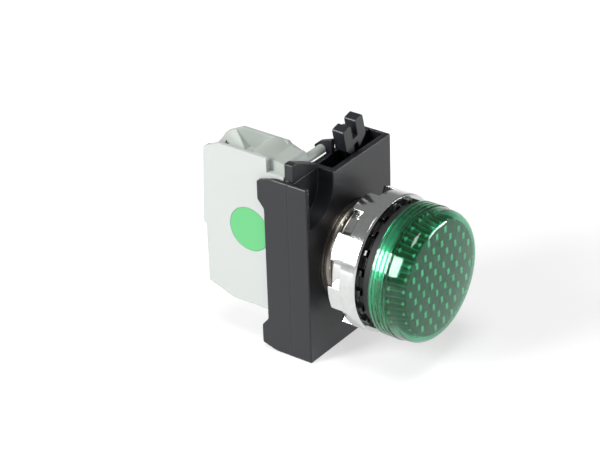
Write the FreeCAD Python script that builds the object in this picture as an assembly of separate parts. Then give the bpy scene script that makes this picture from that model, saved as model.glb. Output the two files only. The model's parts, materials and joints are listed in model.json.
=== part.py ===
import FreeCAD, Part
import math
import os

Vector = FreeCAD.Vector

# A pilot light for a 22 mm panel hole, in millimetres. X points right as seen from the front, Y runs
# rearward along the lamp's axis and Z points up. The origin lies on that axis, where the gasket meets
# the panel. The nut holds the head from behind the panel, and the adapter clips on the neck behind it.

# Clearances
RUN_GAP = 0.05            # round things that turn or slide on each other
SEAT_GAP = 0.10           # pieces that drop into each other

# Head: flange, gasket and neck in one line along Y
NECK_R = 11.0
NECK_WALL = 2.4
NECK_REAR = 16.9
GASKET_W = 2.4
GASKET_T = 2.15
HEAD_FLANGE_T = 2.85
REFLECTOR_RIM = 1.7       # width of the flange's front face round the bright cone
NECK_RING_AT = (10.75, 11.45)
NECK_RING_W = 0.25
NECK_RING_DEPTH = 0.2

# Lens cap
LENS_OVERHANG = 1.1       # how far the lens stands out past the gasket
LENS_SIDE_STEP = 0.2
LENS_NOSE_STEP = 0.4
LENS_LENGTH = 9.6
LENS_CORNER_R = 2.6
LENS_DOME_R = 65.0
LENS_WALL = 0.85
LENS_RIM_WALL = 1.15
RING_COUNT = 4
RING_PITCH = 1.0
RING_GROOVE = 0.35
RING_DEPTH = 0.35

# Bayonet of the lens: lugs inside the cap, slots in the head's flange
CAP_LUGS = 3
CAP_LUG_DEG = 12.0
CAP_LUG_H = 0.8
CAP_LUG_DEPTH = 0.85
CAP_LUG_FRONT = 4.15      # distance of the lug's front face before the panel seat
CAP_TURN_DEG = 30.0
CAP_LUG_AT = 50.0         # angle of the first lug, from +X towards +Z

# Prism cup inside the lens
CUP_COLLAR = 0.9
CUP_TAPER = 1.05
CUP_WALL = 0.9
FLUTES = 60
FLUTE_DEPTH = 0.35
PRISM_PITCH = 3.0
PRISM_W = 0.45
PRISM_H = 0.95
PRISM_RAISE = 0.15
PRISM_MARGIN = 1.0

# Lock washer and nut
WASHER_T = 0.8
WASHER_RING_W = 2.0
WASHER_TOOTH_L = 1.0
WASHER_TEETH = 20
WASHER_TOOTH_W = 2.3
WASHER_TIP_W = 1.1
NUT_W = 4.0
NUT_FLANGE_T = 3.7
NUT_LUG_T = 3.1
NUT_LUG_H = 2.1
NUT_LUGS = 8
NUT_LUG_DEG = 22.5
NUT_LUG_AT = 101.5        # angle of the first lug, from +X towards +Z
NUT_BEVEL = 0.35
NUT_LUG_ROUND = 0.6

# Adapter: front cover and rear frame
ADAPTER_H = 41.4
ADAPTER_FRONT = 12.2
COVER_T = 4.86
FRAME_T = 7.64
PLATE_T = 1.2
SIDE_WALL = 0.9
EDGE_R = 0.5
EDGE_BEVEL = 0.2
WAIST_STEP = 1.6          # how far the frame's rear edge steps in between its four feet
WAIST_Z = 13.2
FOOT_Z = 15.1
FOOT_TIP_Z = 19.4
FOOT_BEND_Y = 20.4
FOOT_BEND_R = 6.0
FOOT_TIP_R = 0.5
WAIST_R = 1.0
MID_PLATE_T = 1.14

# Scooped upper corner of the cover, as seen from the front
SCOOP_W = 9.45
SCOOP_BOTTOM = 11.05
SCOOP_R = 6.95
SCOOP_DEPTH = 3.9
SCOOP_WALL = 1.0
SLOT_SILL = 1.35          # from the scoop to the slot that the lever's handle moves in

# Bays of the frame and what carries a block there
BAY_COUNT = 3
BLOCK_FRONT = 18.5
BLOCK_BOTTOM = -11.6
WINDOW_W = 7.8
WINDOW_H = 12.0
SHELF_T = 1.2
RIB_W = 1.0

# Pin on the block, the hook that holds it and the web beside the tongue
PIN_Y = 19.4
PIN_Z = 21.4
PIN_R = 1.05
PIN_REACH = 5.2           # from the block's right wall to the hook
HOOK_T = 1.0
HOOK_TIP = 0.7
HOOK_TIP_H = 0.5
HOOK_BACK_H = 1.6
HOOK_TOP_H = 2.7
HOOK_FRONT = 16.8
WEB_FRONT = 16.2
WEB_TOP = 24.65
WEB_OVERLAP = 0.5         # how far the web runs past the block's right wall

# Locking lever
LEVER_FRONT = 13.75
LEVER_T = 2.85
LEVER_RING_W = 2.3
LEVER_RING_ROOM = 0.8     # between the lever's ring and the cover's side walls
LEVER_LEAN_DEG = 13.0
LEVER_CORNER = (0.31, 26.64)
LEVER_PRONG_W = 2.6
LEVER_GAP_W = 1.8
LEVER_ARM_W = 4.2
LEVER_ARM_ROOT = 2.5      # how deep the arm runs into the ring
LEVER_NOTCH_H = 3.8
LEVER_SHOULDER_H = 5.1
LEVER_WAIST_H = 6.6
LEVER_SLIT_INSET = 0.3
LEVER_ARM_T = 1.4
LOCK_LUG_DEG = 16.0
LOCK_LUG_H = 1.0
LOCK_LUG_DEPTH = 0.75
LOCK_TURN_DEG = 14.0

# Light block
BLOCK_TOP = 24.5
BLOCK_REAR = 39.3
BLOCK_WALL = 1.2
COVER_SHEET = 0.9
RIGHT_WALL = 0.8
LEDGE_Z = 21.3
GROOVE_Y = 22.8
TONGUE_INSET = 0.5
TONGUE_Z = 23.8
HEEL_Y = 32.9             # where the bottom starts to slope up to the rear face
STEP_Z = 4.2              # step in the rear face
STEP_OUT = 0.75
REAR_TOP = (39.1, 22.65)
WALL_TOP_REAR = 35.3
WALL_TOP_FRONT = 23.6
WALL_STEP = (23.0, 23.9)
WALL_TOE = (19.6, 22.75)
CREST = (26.49, 25.32)    # the rounded hump in front of the funnel
CREST_R = 4.1
TROUGH_Z = 20.5
TROUGH_FRONT = 31.9
TROUGH_REAR = 33.4
REAR_LIP = (36.9, 23.75)
FUNNEL_FLOOR = 20.1
FUNNEL_MOUTH = (37.6, 25.2)
FUNNEL_MOUTH_R = 4.2
FUNNEL_END_R = 2.0
CATCH_H = 0.7             # small catch under the block, behind the frame's shelf
CATCH_L = 2.0
CATCH_W = 4.0
PRY_SLOT_Y = (37.1, 38.1) # narrow slot in the rear slope
PRY_SLOT_Z = 20.2
PRY_SLOT_W = 5.6
DOT_R = 5.0
DOT_Y = 27.9
DOT_Z = 6.4
DOT_T = 0.3
CAVITY_TOP = 18.2
CAVITY_BOTTOM = -9.4
CAVITY_REAR = 38.3
CAVITY_HEEL = 36.6

# Terminals in the block
WIRE_Y = 31.1
WIRE_R = 1.6
SCREW_HEAD_R = 2.2
SCREW_HEAD_T = 1.4
SCREW_R = 1.5
SCREW_SLOT_W = 0.7
SCREW_SLOT_D = 0.8
ACCESS_R = 2.0
CAGE_W = 5.9
CAGE_H = 5.0
CAGE_GAP = 3.6
CAGE_FRONT_T = 0.8
CAGE_REAR_T = 0.7
TERMINAL_BAR_T = 0.8
TERMINAL_UP_Z = 15.4
TERMINAL_LOW_Z = -6.6

# Driver board and what it carries
BOARD_T = 1.0
BOARD_FRONT = 20.6
BOARD_REAR = 36.4
BOARD_BOTTOM = -4.0
BOARD_TOP = 9.0
BOARD_STANDOFF = 1.0
RESISTOR_R = 1.5
RESISTOR_L = 8.0
RESISTOR_FRONT = 22.6
RESISTOR_CAP_RISE = 0.2
RESISTOR_CAP_L = 1.4
CAPACITOR_R = 2.1
CAPACITOR_ROOM = 0.9      # between the can and the side cover
CAPACITOR_Y = 25.6
CAPACITOR_RISE = 3.0      # its axis above the board's lower edge
RECTIFIER_FRONT = 28.4
RECTIFIER_SIZE = (2.4, 4.4, 4.0)

# Lamp in the neck
CARRIER_WALL = 1.2
CARRIER_FRONT = 6.0
CARRIER_BASE_T = 1.5
LAMP_BOARD_T = 1.0
LED_SIZE = 3.0
LED_T = 1.3
LED_RING_R = 3.6
LED_DOME_R = 1.2
CONTACT_Z = 2.6
CONTACT_OFFSET = 0.7      # from the board's face to the middle of the spring's tip
BLADE_INSET = 1.6         # from the carrier's inner wall to the blades
BLADE_T = 0.6
BLADE_W = 1.6
PAD_T = 0.5
SPRING_T = 0.3
SPRING_W = 1.8
SPRING_RISE = 0.65
SPRING_SOLDER_L = 3.0

# Places that follow from the sizes above
GASKET_R = NECK_R + GASKET_W
GASKET_FRONT = -GASKET_T
HEAD_FRONT = GASKET_FRONT - HEAD_FLANGE_T
NECK_BORE_R = NECK_R - NECK_WALL
LENS_RIM_R = GASKET_R + LENS_OVERHANG
LENS_SIDE_R = LENS_RIM_R - LENS_SIDE_STEP
LENS_NOSE_R = LENS_RIM_R - LENS_NOSE_STEP
LENS_BORE_R = LENS_RIM_R - LENS_RIM_WALL
CUP_FRONT_R = LENS_BORE_R - CUP_TAPER
PRISM_FIELD_R = CUP_FRONT_R - PRISM_MARGIN
HEAD_FLANGE_R = LENS_BORE_R - RUN_GAP
REFLECTOR_R = HEAD_FLANGE_R - REFLECTOR_RIM
LENS_REAR = GASKET_FRONT - RUN_GAP
LENS_APEX = LENS_REAR - LENS_LENGTH
CAP_LUG_REAR = -CAP_LUG_FRONT + CAP_LUG_H
CUP_REAR = HEAD_FRONT - SEAT_GAP
WASHER_FRONT = SEAT_GAP
WASHER_R = NECK_R + WASHER_RING_W + WASHER_TOOTH_L
NUT_R = NECK_R + NUT_W
NUT_FLOOR_R = NUT_R - NUT_LUG_H
NUT_FRONT = WASHER_FRONT + WASHER_T + RUN_GAP
NUT_SHOULDER = NUT_FRONT + NUT_FLANGE_T
NUT_REAR = NUT_SHOULDER + NUT_LUG_T
LEVER_RING_R = NECK_R + LEVER_RING_W
INNER_X = LEVER_RING_R + LEVER_RING_ROOM
HALF_W = INNER_X + SIDE_WALL
HALF_H = ADAPTER_H / 2
SEAM_Y = ADAPTER_FRONT + COVER_T
FRAME_REAR = SEAM_Y + FRAME_T
MID_REAR = SEAM_Y + MID_PLATE_T
INNER_Z = HALF_H - SIDE_WALL
SCOOP_RIGHT = SCOOP_W - HALF_W
SLOT_LEFT = SCOOP_RIGHT + SLOT_SILL
SCOOP_BACK = ADAPTER_FRONT + SCOOP_DEPTH
BLOCK_LEFT = SEAT_GAP - INNER_X
BLOCK_W = 2 * INNER_X / BAY_COUNT - 2 * SEAT_GAP
LEVER_REAR = LEVER_FRONT + LEVER_T
LOCK_LUG_Y = LEVER_FRONT + LEVER_T / 2
BLOCK_RIGHT = BLOCK_LEFT + BLOCK_W
CORE_LEFT = BLOCK_LEFT + COVER_SHEET
CORE_RIGHT = BLOCK_RIGHT - RIGHT_WALL
BLOCK_MID_X = (CORE_LEFT + CORE_RIGHT) / 2
TONGUE_LEFT = CORE_LEFT + TONGUE_INSET
WEB_LEFT = BLOCK_LEFT
WEB_RIGHT = BLOCK_RIGHT + WEB_OVERLAP
HOOK_LEFT = BLOCK_RIGHT + PIN_REACH
BOARD_RIGHT = CORE_RIGHT - BOARD_STANDOFF
CAPACITOR_L = BOARD_RIGHT - BOARD_T - CORE_LEFT - CAPACITOR_ROOM
CONTACT_X = BOARD_RIGHT - BOARD_T - CONTACT_OFFSET
CAVITY_FRONT = BLOCK_FRONT + BLOCK_WALL
BAY_FLOOR = BLOCK_BOTTOM - SEAT_GAP
CAGE_INNER = WIRE_Y - CAGE_GAP / 2
BAR_FACE = WIRE_Y + CAGE_GAP / 2
CAGE_REAR = BAR_FACE + TERMINAL_BAR_T + SEAT_GAP * 5 + CAGE_REAR_T
HEAD_SEAT = CAVITY_REAR - SEAT_GAP - SCREW_HEAD_T
CARRIER_R = NECK_BORE_R - SEAT_GAP
CARRIER_REAR = NECK_REAR + SEAT_GAP
PAD_REAR = MID_REAR
BLADE_X = CARRIER_WALL + BLADE_INSET - CARRIER_R


def box(x0, x1, y0, y1, z0, z1):
    return Part.makeBox(x1 - x0, y1 - y0, z1 - z0, Vector(x0, y0, z0))


def rod_y(radius, y0, y1, x=0.0, z=0.0):
    return Part.makeCylinder(radius, y1 - y0, Vector(x, y0, z), Vector(0, 1, 0))


def rod_x(radius, x0, x1, y, z):
    return Part.makeCylinder(radius, x1 - x0, Vector(x0, y, z), Vector(1, 0, 0))


def rod_z(radius, z0, z1, x, y):
    return Part.makeCylinder(radius, z1 - z0, Vector(x, y, z0), Vector(0, 0, 1))


def rounded_wire(points, radii):
    """Closed outline through the points, with its own radius at each corner (0 keeps it sharp)."""
    count = len(points)
    legs = []
    for i, corner in enumerate(points):
        if radii[i] <= 0:
            legs.append((corner, None, corner))
            continue
        back = Vector(points[i - 1] - corner).normalize()
        ahead = Vector(points[(i + 1) % count] - corner).normalize()
        half = back.getAngle(ahead) / 2
        reach = radii[i] / math.tan(half)
        centre = corner + Vector(back + ahead).normalize() * (radii[i] / math.sin(half))
        middle = centre + Vector(corner - centre).normalize() * radii[i]
        legs.append((corner + back * reach, middle, corner + ahead * reach))
    edges = []
    for i, (start, middle, end) in enumerate(legs):
        if middle is not None:
            edges.append(Part.Arc(start, middle, end).toShape())
        following = legs[(i + 1) % count][0]
        if end.distanceToPoint(following) > 1e-6:
            edges.append(Part.LineSegment(end, following).toShape())
    return Part.Wire(edges)


def spread(points, radii):
    return radii if isinstance(radii, (list, tuple)) else [radii] * len(points)


def prism_x(outline, x0, x1, radii=0.0):
    """Outline of (y, z) points, pushed from x0 to x1."""
    wire = rounded_wire([Vector(x0, y, z) for y, z in outline], spread(outline, radii))
    return Part.Face(wire).extrude(Vector(x1 - x0, 0, 0))


def prism_y(outline, y0, y1, radii=0.0):
    """Outline of (x, z) points, pushed from y0 to y1."""
    wire = rounded_wire([Vector(x, y0, z) for x, z in outline], spread(outline, radii))
    return Part.Face(wire).extrude(Vector(0, y1 - y0, 0))


def prism_z(outline, z0, z1, radii=0.0):
    """Outline of (x, y) points, pushed from z0 to z1."""
    wire = rounded_wire([Vector(x, y, z0) for x, y in outline], spread(outline, radii))
    return Part.Face(wire).extrude(Vector(0, 0, z1 - z0))


def turned(outline, degrees=360.0, start=0.0):
    """Outline of (radius, y) points, turned about the lamp's axis from +X towards +Z."""
    wire = rounded_wire([Vector(r, y, 0) for r, y in outline], [0.0] * len(outline))
    solid = Part.Face(wire).revolve(Vector(0, 0, 0), Vector(0, -1, 0), degrees)
    solid.rotate(Vector(0, 0, 0), Vector(0, -1, 0), start)
    return solid


def sector(r0, r1, y0, y1, middle, width):
    """Part of a ring: width degrees of it, centred on the angle middle."""
    return turned([(r0, y0), (r1, y0), (r1, y1), (r0, y1)], width, middle - width / 2)


def joined(first, others):
    return first.fuse(others).removeSplitter()


def cut_away(body, tools):
    return body.cut(tools).removeSplitter()


def rect(x0, x1, z0, z1):
    return [(x0, z0), (x1, z0), (x1, z1), (x0, z1)]


def lens_arcs(wall):
    """Corner arc and dome arc of the cap, drawn in by a wall, as edges from the side to the apex."""
    corner_x = LENS_NOSE_R - LENS_CORNER_R
    dome_y = LENS_APEX + LENS_DOME_R
    corner_y = dome_y - math.sqrt((LENS_DOME_R - LENS_CORNER_R) ** 2 - corner_x ** 2)
    meet = math.atan2(corner_y - dome_y, corner_x)
    down = Vector(0, 0, -1)
    corner = Part.Circle(Vector(corner_x, corner_y, 0), down, LENS_CORNER_R - wall)
    dome = Part.Circle(Vector(0, dome_y, 0), down, LENS_DOME_R - wall)
    start = Vector(corner_x + corner.Radius, corner_y, 0)
    joint = corner.Center + Vector(math.cos(meet), math.sin(meet), 0) * corner.Radius
    apex = Vector(0, LENS_APEX + wall, 0)
    edges = []
    for circle, first, last in ((corner, start, joint), (dome, joint, apex)):
        edges.append(Part.ArcOfCircle(circle, circle.parameter(first), circle.parameter(last)).toShape())
    return start, edges, apex


def make_lens():
    outer_start, outer_arcs, outer_apex = lens_arcs(0.0)
    inner_start, inner_arcs, inner_apex = lens_arcs(LENS_WALL)
    path = [Vector(LENS_BORE_R, LENS_REAR, 0), Vector(LENS_RIM_R, LENS_REAR, 0)]
    y = LENS_REAR
    for ring in range(RING_COUNT):
        y -= RING_PITCH - RING_GROOVE
        path.append(Vector(LENS_RIM_R, y, 0))
        path.append(Vector(LENS_RIM_R - RING_DEPTH, y, 0))
        y -= RING_GROOVE
        path.append(Vector(LENS_RIM_R - RING_DEPTH, y, 0))
        following = LENS_RIM_R if ring < RING_COUNT - 1 else LENS_SIDE_R
        path.append(Vector(following, y, 0))
    path.append(outer_start)
    edges = [Part.LineSegment(a, b).toShape() for a, b in zip(path, path[1:])]
    edges += outer_arcs
    edges.append(Part.LineSegment(outer_apex, inner_apex).toShape())
    edges += inner_arcs[::-1]
    edges.append(Part.LineSegment(inner_start, path[0]).toShape())
    outline = Part.Wire(Part.__sortEdges__(edges))
    cap = Part.Face(outline).revolve(Vector(0, 0, 0), Vector(0, 1, 0), 360)
    lugs = []
    for i in range(CAP_LUGS):
        angle = CAP_LUG_AT + i * 360.0 / CAP_LUGS
        tip = LENS_BORE_R - CAP_LUG_DEPTH
        root = LENS_BORE_R + LENS_WALL / 4
        lugs.append(sector(tip, root, -CAP_LUG_FRONT, CAP_LUG_REAR, angle, CAP_LUG_DEG))
    return joined(cap, lugs)


def star_wire(outer_r, depth, y):
    """Ring of pointed flutes about the lamp's axis."""
    points = []
    for i in range(2 * FLUTES):
        radius = outer_r if i % 2 == 0 else outer_r - depth
        angle = math.pi * i / FLUTES
        points.append(Vector(radius * math.cos(angle), y, radius * math.sin(angle)))
    return Part.makePolygon(points + [points[0]])


def make_prism_cup():
    cup_r = LENS_BORE_R - SEAT_GAP - RUN_GAP
    flute_rear = CUP_REAR - CUP_COLLAR
    dome_room = LENS_APEX + LENS_WALL + PRISM_FIELD_R ** 2 / (2 * LENS_DOME_R)
    front = dome_room + PRISM_RAISE + SEAT_GAP
    collar = rod_y(cup_r, flute_rear, CUP_REAR)
    stars = [star_wire(cup_r, FLUTE_DEPTH, flute_rear), star_wire(CUP_FRONT_R, FLUTE_DEPTH, front)]
    fluted = Part.makeLoft(stars, True, True)
    wall = CUP_WALL
    hollow = turned([
        (0, front + wall), (CUP_FRONT_R - FLUTE_DEPTH - wall, front + wall),
        (cup_r - FLUTE_DEPTH - wall, flute_rear), (cup_r - wall, flute_rear),
        (cup_r - wall, CUP_REAR + SEAT_GAP), (0, CUP_REAR + SEAT_GAP)])
    cup = joined(collar, [fluted]).cut(hollow)
    prisms = []
    row_step = PRISM_PITCH * math.sqrt(3) / 2
    rows = int(PRISM_FIELD_R / row_step)
    columns = int(PRISM_FIELD_R / PRISM_PITCH) + 1
    for row in range(-rows, rows + 1):
        for column in range(-columns, columns + 1):
            x = (column + (row % 2) / 2) * PRISM_PITCH
            z = row * row_step
            if math.hypot(x, z) + PRISM_H / 2 < PRISM_FIELD_R:
                half_w, half_h = PRISM_W / 2, PRISM_H / 2
                prisms.append(box(x - half_w, x + half_w, front - PRISM_RAISE, front + wall / 2,
                                  z - half_h, z + half_h))
    return joined(cup, prisms)


def make_gasket():
    ring = rod_y(GASKET_R, GASKET_FRONT, 0.0)
    return ring.cut(rod_y(NECK_R + RUN_GAP, GASKET_FRONT - 1, 1.0))


def make_head():
    profile = [
        (NECK_BORE_R, 0.0), (REFLECTOR_R, HEAD_FRONT), (HEAD_FLANGE_R, HEAD_FRONT),
        (HEAD_FLANGE_R, GASKET_FRONT), (NECK_R, GASKET_FRONT), (NECK_R, NECK_REAR),
        (NECK_BORE_R, NECK_REAR)]
    head = turned(profile)
    tools = []
    for at in NECK_RING_AT:
        tools.append(turned([(NECK_R - NECK_RING_DEPTH, at), (NECK_R + 1, at),
                             (NECK_R + 1, at + NECK_RING_W), (NECK_R - NECK_RING_DEPTH, at + NECK_RING_W)]))
    lug_room = CAP_LUG_DEG + 2
    floor = LENS_BORE_R - CAP_LUG_DEPTH - SEAT_GAP
    for i in range(CAP_LUGS):
        angle = CAP_LUG_AT + i * 360.0 / CAP_LUGS
        track_front = -CAP_LUG_FRONT - SEAT_GAP
        track_rear = CAP_LUG_REAR + SEAT_GAP
        tools.append(sector(floor, LENS_BORE_R + 1, track_front, track_rear,
                            angle + CAP_TURN_DEG / 2, CAP_TURN_DEG + lug_room))
        tools.append(sector(floor, LENS_BORE_R + 1, HEAD_FRONT - 1, track_rear,
                            angle + CAP_TURN_DEG, lug_room))
    lock_room = LOCK_LUG_DEG + 2
    lock_floor = NECK_R - LOCK_LUG_DEPTH - SEAT_GAP
    half_track = LOCK_LUG_H / 2 + SEAT_GAP
    for angle in (0.0, 180.0):
        tools.append(sector(lock_floor, NECK_R + 1, LOCK_LUG_Y - half_track, LOCK_LUG_Y + half_track,
                            angle - LOCK_TURN_DEG / 2, LOCK_TURN_DEG + lock_room))
        tools.append(sector(lock_floor, NECK_R + 1, LOCK_LUG_Y, NECK_REAR + 1,
                            angle - LOCK_TURN_DEG, lock_room))
    return head.cut(tools)


def make_washer():
    ring_r = NECK_R + SEAT_GAP + WASHER_RING_W
    rear = WASHER_FRONT + WASHER_T
    ring = rod_y(ring_r, WASHER_FRONT, rear)
    teeth = []
    for i in range(WASHER_TEETH):
        tooth = prism_y([(-WASHER_TOOTH_W / 2, ring_r - WASHER_T), (WASHER_TOOTH_W / 2, ring_r - WASHER_T),
                         (WASHER_TIP_W / 2, WASHER_R), (-WASHER_TIP_W / 2, WASHER_R)], WASHER_FRONT, rear)
        tooth.rotate(Vector(0, 0, 0), Vector(0, 1, 0), i * 360.0 / WASHER_TEETH)
        teeth.append(tooth)
    return joined(ring, teeth).cut(rod_y(NECK_R + SEAT_GAP, WASHER_FRONT - 1, rear + 1))


def make_nut():
    bore = NECK_R + RUN_GAP
    b = NUT_BEVEL
    nut = turned([
        (bore + b, NUT_FRONT), (NUT_R - b, NUT_FRONT), (NUT_R, NUT_FRONT + b), (NUT_R, NUT_REAR - b),
        (NUT_R - b, NUT_REAR), (bore + b, NUT_REAR), (bore, NUT_REAR - b), (bore, NUT_FRONT + b)])
    pitch = 360.0 / NUT_LUGS
    gaps = []
    for i in range(NUT_LUGS):
        gap_middle = NUT_LUG_AT + (i + 0.5) * pitch
        gaps.append(sector(NUT_FLOOR_R, NUT_R + 1, NUT_SHOULDER, NUT_REAR + 1, gap_middle, pitch - NUT_LUG_DEG))
    nut = nut.cut(gaps)
    corners = []
    for edge in nut.Edges:
        ends = [v.Point for v in edge.Vertexes]
        at_rear = all(abs(p.y - NUT_REAR) < 1e-4 for p in ends)
        radial = len(ends) == 2 and abs(math.hypot(ends[0].x, ends[0].z) - math.hypot(ends[1].x, ends[1].z)) > 1
        if at_rear and radial:
            corners.append(edge)
    return nut.makeFillet(NUT_LUG_ROUND, corners)


def scoop_outline(grow, right):
    """Outline of the scoop, from above the cover's top edge down to its rounded inner corner."""
    left = -INNER_X if grow == 0 else -HALF_W - 1
    low, high = SCOOP_BOTTOM - grow, HALF_H + 1
    outline = [(left, high), (left, low), (right, low), (right, high)]
    return outline, [0.0, 0.0, SCOOP_R + grow, 0.0]


def make_front_cover():
    cover = prism_y(rect(-HALF_W, HALF_W, -HALF_H, HALF_H), ADAPTER_FRONT, SEAM_Y, EDGE_R)
    rim = [e for e in cover.Edges if abs(e.BoundBox.YMin - ADAPTER_FRONT) < 1e-6 and e.BoundBox.YLength < 1e-6]
    cover = cover.makeChamfer(EDGE_BEVEL, rim)
    plate_rear = ADAPTER_FRONT + PLATE_T
    room = box(-INNER_X, INNER_X, plate_rear, SEAM_Y, -INNER_Z, INNER_Z)
    kept, kept_radii = scoop_outline(SCOOP_WALL, SLOT_LEFT)
    room = room.cut(prism_y(kept, plate_rear - 1, SEAM_Y + 1, kept_radii))
    scoop, scoop_radii = scoop_outline(0, SCOOP_RIGHT)
    return cut_away(cover, [
        room,
        prism_y(scoop, ADAPTER_FRONT - 1, SCOOP_BACK, scoop_radii),
        box(SLOT_LEFT, INNER_X, plate_rear, SEAM_Y, INNER_Z - 1, HALF_H + 1),
        rod_y(NECK_R + SEAT_GAP, ADAPTER_FRONT - 1, plate_rear + 1)])


def make_web():
    """Upright web over the cover's top edge, sloping down towards the pin."""
    rest_z = HALF_H + RUN_GAP
    width = WEB_RIGHT - WEB_LEFT
    drop = WEB_TOP - rest_z
    outline = [(WEB_LEFT, rest_z), (WEB_RIGHT, rest_z), (WEB_RIGHT - 0.4 * width, WEB_TOP - drop / 2),
               (WEB_LEFT + 0.16 * width, WEB_TOP), (WEB_LEFT, WEB_TOP)]
    web = prism_y(outline, WEB_FRONT, MID_REAR, [0, 0.3, 4.0, 2.0, 0.3])
    root = box(WEB_LEFT, WEB_RIGHT, SEAM_Y, MID_REAR, HALF_H - 1, rest_z + 0.1)
    return joined(web, [root])


def make_hook():
    """Plate that reaches over the block's pin and leaves it free downwards."""
    seat_r = PIN_R + RUN_GAP
    back = PIN_Y - seat_r
    tip = PIN_Y + seat_r + HOOK_TIP
    outline = [(SEAM_Y, HALF_H - 1), (back, HALF_H - 1), (back, PIN_Z), (tip, PIN_Z), (tip, PIN_Z + HOOK_TIP_H),
               (PIN_Y + PIN_R / 2, PIN_Z + HOOK_BACK_H), (HOOK_FRONT, PIN_Z + HOOK_TOP_H),
               (HOOK_FRONT, HALF_H + RUN_GAP),
               (SEAM_Y, HALF_H + RUN_GAP)]
    hook = prism_x(outline, HOOK_LEFT, HOOK_LEFT + HOOK_T, [0, 0, 0, 0.15, 0.4, 1.5, 0.3, 0, 0])
    return hook.cut(rod_x(seat_r, HOOK_LEFT - 1, HOOK_LEFT + HOOK_T + 1, PIN_Y, PIN_Z))


def make_rear_frame():
    side = [
        (SEAM_Y, -HALF_H), (FOOT_BEND_Y, -HALF_H), (FRAME_REAR, -FOOT_TIP_Z), (FRAME_REAR, -FOOT_Z),
        (FRAME_REAR - WAIST_STEP, -WAIST_Z), (FRAME_REAR - WAIST_STEP, WAIST_Z), (FRAME_REAR, FOOT_Z),
        (FRAME_REAR, FOOT_TIP_Z), (FOOT_BEND_Y, HALF_H), (SEAM_Y, HALF_H)]
    radii = [0, FOOT_BEND_R, FOOT_TIP_R, FOOT_TIP_R, WAIST_R, WAIST_R, FOOT_TIP_R, FOOT_TIP_R, FOOT_BEND_R, 0]
    frame = prism_x(side, -HALF_W, HALF_W, radii)
    frame = frame.common(prism_y(rect(-HALF_W, HALF_W, -HALF_H, HALF_H), SEAM_Y, FRAME_REAR, EDGE_R))
    beyond = FRAME_REAR + 5
    tools = [box(-INNER_X, INNER_X, MID_REAR, beyond, BAY_FLOOR, HALF_H + 1)]
    chamber_top = BAY_FLOOR - SHELF_T
    bay = BLOCK_W + SEAT_GAP
    ribs_at = (-bay / 2, bay / 2)
    edges = [-INNER_X] + [x + side_sign * RIB_W / 2 for x in ribs_at for side_sign in (-1, 1)] + [INNER_X]
    for left, right in zip(edges[0::2], edges[1::2]):
        tools.append(box(left, right, MID_REAR, beyond, -INNER_Z, chamber_top))
    for x in (-bay, 0.0, bay):
        tools.append(box(x - WINDOW_W / 2, x + WINDOW_W / 2, SEAM_Y - 1, MID_REAR + 1,
                         -WINDOW_H / 2, WINDOW_H / 2))
    frame = cut_away(frame, tools)
    return joined(frame, [make_web(), make_hook()])


def make_lever():
    ring = rod_y(LEVER_RING_R, LEVER_FRONT, LEVER_REAR)
    width = 2 * LEVER_PRONG_W + LEVER_GAP_W
    right = LEVER_PRONG_W + LEVER_GAP_W
    notch, shoulder, waist = -LEVER_NOTCH_H, -LEVER_SHOULDER_H, -LEVER_WAIST_H
    slit = right - LEVER_SLIT_INSET
    handle = [
        (0, 0), (LEVER_PRONG_W, 0), (LEVER_PRONG_W, notch), (right, notch), (right, 0), (width, 0),
        (width, shoulder), (right + LEVER_SLIT_INSET, waist), (slit, waist), (slit, shoulder),
        (LEVER_PRONG_W, shoulder), (LEVER_PRONG_W, waist), (LEVER_PRONG_W / 2, waist), (0, shoulder)]
    radii = [0.5, 0.5, 0.3, 0.3, 0.5, 0.5, 0.6, 0.1, 0.1, 0.1, 0.1, 0.3, 0.6, 0.6]
    grip = prism_y(handle, LEVER_FRONT, LEVER_REAR, radii)
    arm_left = width / 2 - LEVER_ARM_W / 2
    reach = LEVER_CORNER[1] - LEVER_RING_R + LEVER_ARM_ROOT
    arm_top = notch - LEVER_SLIT_INSET
    arm = box(arm_left, arm_left + LEVER_ARM_W, LEVER_REAR - LEVER_ARM_T, LEVER_REAR, -reach, arm_top)
    grip = joined(grip, [arm])
    grip.rotate(Vector(0, 0, 0), Vector(0, -1, 0), LEVER_LEAN_DEG)
    grip.translate(Vector(LEVER_CORNER[0], 0, LEVER_CORNER[1]))
    lever = joined(ring, [grip]).cut(rod_y(NECK_R + RUN_GAP, LEVER_FRONT - 1, LEVER_REAR + 1))
    lugs = []
    for angle in (0.0, 180.0):
        lugs.append(sector(NECK_R - LOCK_LUG_DEPTH, NECK_R + RUN_GAP * 4, LOCK_LUG_Y - LOCK_LUG_H / 2,
                           LOCK_LUG_Y + LOCK_LUG_H / 2, angle, LOCK_LUG_DEG))
    return joined(lever, lugs)


REAR_OUTLINE = [
    (BLOCK_FRONT, BLOCK_BOTTOM), (HEEL_Y, BLOCK_BOTTOM), (BLOCK_REAR, CAVITY_BOTTOM), (BLOCK_REAR, STEP_Z),
    (BLOCK_REAR + STEP_OUT, STEP_Z + STEP_OUT), REAR_TOP]


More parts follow.
